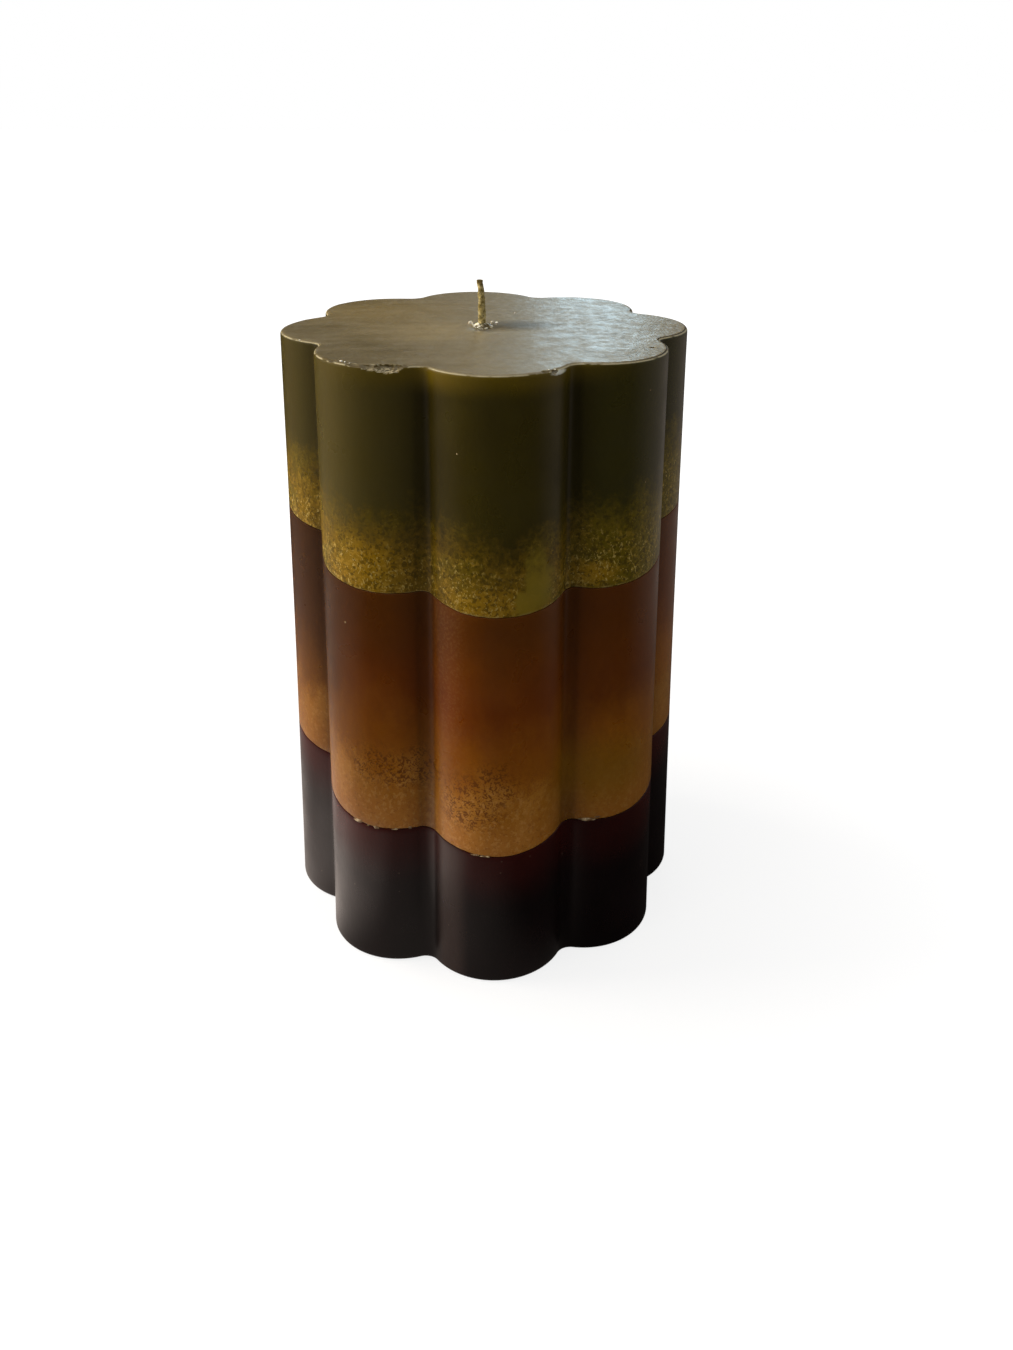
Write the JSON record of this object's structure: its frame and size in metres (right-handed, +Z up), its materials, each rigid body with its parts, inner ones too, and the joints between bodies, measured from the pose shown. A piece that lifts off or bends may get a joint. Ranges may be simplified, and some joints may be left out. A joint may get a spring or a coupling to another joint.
{
  "type": "pillar candle",
  "caption": "Free-standing pillar candle with a fluted, round-lobed body poured in plum, amber and olive wax, with slanted colour changes and a short waxed wick.",
  "frame": {"origin": "centre of the candle's foot, on the surface that it stands on", "axes": "+Z up along the candle's axis; one lobe points towards -Y, which is the front, where both colour changes are lowest"},
  "size_m": [0.1, 0.1, 0.1613],
  "materials": {
    "plum_wax": "satin wax",
    "amber_wax": "satin wax, mottled low down",
    "olive_wax": "satin wax, mottled low down",
    "waxed_cotton": "stiff, waxed",
    "tinned_steel": "bright tinned",
    "pale_wax": "ragged wax"
  },
  "bodies": {
    "root": {"base_layer": "plum_wax", "middle_layer": "amber_wax", "top_layer": "olive_wax", "wick": "waxed_cotton", "wick_sustainer": "tinned_steel", "wick_seal": "pale_wax"}
  },
  "joints": []
}
